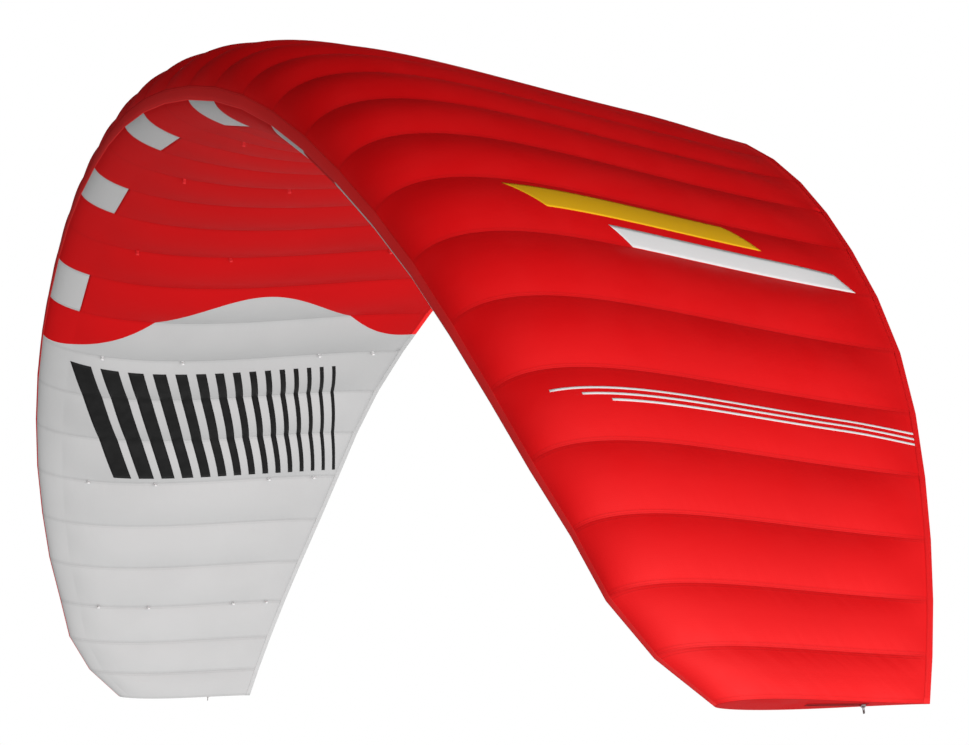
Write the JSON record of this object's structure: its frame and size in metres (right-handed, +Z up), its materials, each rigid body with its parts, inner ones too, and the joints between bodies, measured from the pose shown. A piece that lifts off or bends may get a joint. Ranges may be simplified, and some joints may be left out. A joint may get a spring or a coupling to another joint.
{
  "type": "foil kite",
  "caption": "Arched ram-air foil kite wing of inflated cloth cells, with netted air inlets, inner valve flaps, bridle tabs and a deflation zip at each tip.",
  "frame": {"origin": "on the lower skin, in the middle cell, on the line of the middle row of bridle tabs", "axes": "+X along the span, towards the tip on the right as the rider sees the wing; +Y from the leading edge to the trailing edge; +Z up, away from the bridle. Left in a node's name is -X, and cells are counted from the left tip"},
  "size_m": [5.7176, 1.586, 1.9367],
  "materials": {
    "red_cloth": "coated ripstop nylon, satin",
    "grey_cloth": "coated ripstop nylon, satin",
    "inlet_net": "fine net, matte",
    "rib_cloth": "stiff coated ripstop, satin",
    "tip_cloth": "coated ripstop nylon, satin",
    "zip_tape": "woven polyester tape, matte",
    "slider_metal": "nickel-grey enamel"
  },
  "bodies": {
    "wing": {"upper_skin_left": "red_cloth", "lower_skin_left": "grey_cloth", "upper_skin_centre": "red_cloth", "lower_skin_centre": "red_cloth", "upper_skin_right": "red_cloth", "lower_skin_right": "grey_cloth", "inlet_window_11": "inlet_net", "inlet_window_14": "inlet_net", "inlet_window_17": "inlet_net", "inlet_window_20": "inlet_net", "inlet_window_23": "inlet_net", "tip_rib_left": "tip_cloth", "tip_rib_right": "tip_cloth", "rib_01": "rib_cloth", "rib_02": "rib_cloth", "rib_03": "rib_cloth", "rib_04": "rib_cloth", "rib_05": "rib_cloth", "rib_06": "rib_cloth", "rib_07": "rib_cloth", "rib_08": "rib_cloth", "rib_09": "rib_cloth", "rib_10": "rib_cloth", "rib_11": "rib_cloth", "rib_12": "rib_cloth", "rib_13": "rib_cloth", "rib_14": "rib_cloth", "rib_15": "rib_cloth", "rib_16": "rib_cloth", "rib_17": "rib_cloth", "rib_18": "rib_cloth", "rib_19": "rib_cloth", "rib_20": "rib_cloth", "rib_21": "rib_cloth", "rib_22": "rib_cloth", "rib_23": "rib_cloth", "rib_24": "rib_cloth", "rib_25": "rib_cloth", "rib_26": "rib_cloth", "rib_27": "rib_cloth", "rib_28": "rib_cloth", "rib_29": "rib_cloth", "rib_30": "rib_cloth", "rib_31": "rib_cloth", "rib_32": "rib_cloth", "trailing_edge_tape": "red_cloth", "deflate_zip_left": "zip_tape", "deflate_zip_right": "zip_tape"},
    "valve_flap_11": {"valve_flap_11": "grey_cloth"},
    "valve_flap_14": {"valve_flap_14": "grey_cloth"},
    "valve_flap_17": {"valve_flap_17": "grey_cloth"},
    "valve_flap_20": {"valve_flap_20": "grey_cloth"},
    "valve_flap_23": {"valve_flap_23": "grey_cloth"},
    "zip_slider_left": {"zip_slider_left": "slider_metal"},
    "zip_pull_left": {"zip_pull_left": "slider_metal"},
    "zip_slider_right": {"zip_slider_right": "slider_metal"},
    "zip_pull_right": {"zip_pull_right": "slider_metal"}
  },
  "joints": [
    {"name": "valve_flap_11_hinge", "type": "hinge", "parent": "wing", "child": "valve_flap_11", "pos_m": [-1.42235, -0.51029, -0.17167], "axis": [0.9112, -0.0692, 0.406], "range_deg": [0, 30]},
    {"name": "valve_flap_14_hinge", "type": "hinge", "parent": "wing", "child": "valve_flap_14", "pos_m": [-0.71759, -0.55038, 0.04761], "axis": [0.9813, -0.0403, 0.1883], "range_deg": [0, 30]},
    {"name": "valve_flap_17_hinge", "type": "hinge", "parent": "wing", "child": "valve_flap_17", "pos_m": [0, -0.56884, 0.11782], "axis": [1, 0, 0], "range_deg": [0, 30]},
    {"name": "valve_flap_20_hinge", "type": "hinge", "parent": "wing", "child": "valve_flap_20", "pos_m": [0.71759, -0.55038, 0.04761], "axis": [0.9813, 0.0403, -0.1883], "range_deg": [0, 30]},
    {"name": "valve_flap_23_hinge", "type": "hinge", "parent": "wing", "child": "valve_flap_23", "pos_m": [1.42235, -0.51029, -0.17167], "axis": [0.9112, 0.0692, -0.406], "range_deg": [0, 30]},
    {"name": "zip_slide_left", "type": "slide", "parent": "wing", "child": "zip_slider_left", "axis": [-0.0151, -0.9999, 0.0043], "range_m": [0, 0.125]},
    {"name": "zip_slide_right", "type": "slide", "parent": "wing", "child": "zip_slider_right", "axis": [0.0151, -0.9999, 0.0043], "range_m": [0, 0.125]},
    {"name": "zip_pull_hinge_left", "type": "hinge", "parent": "zip_slider_left", "child": "zip_pull_left", "pos_m": [-2.8077, 0.37448, -1.60248], "axis": [0.9616, -0.0157, -0.2739], "range_deg": [-85, 85]},
    {"name": "zip_pull_hinge_right", "type": "hinge", "parent": "zip_slider_right", "child": "zip_pull_right", "pos_m": [2.8077, 0.37448, -1.60248], "axis": [0.9616, 0.0157, 0.2739], "range_deg": [-85, 85]}
  ]
}
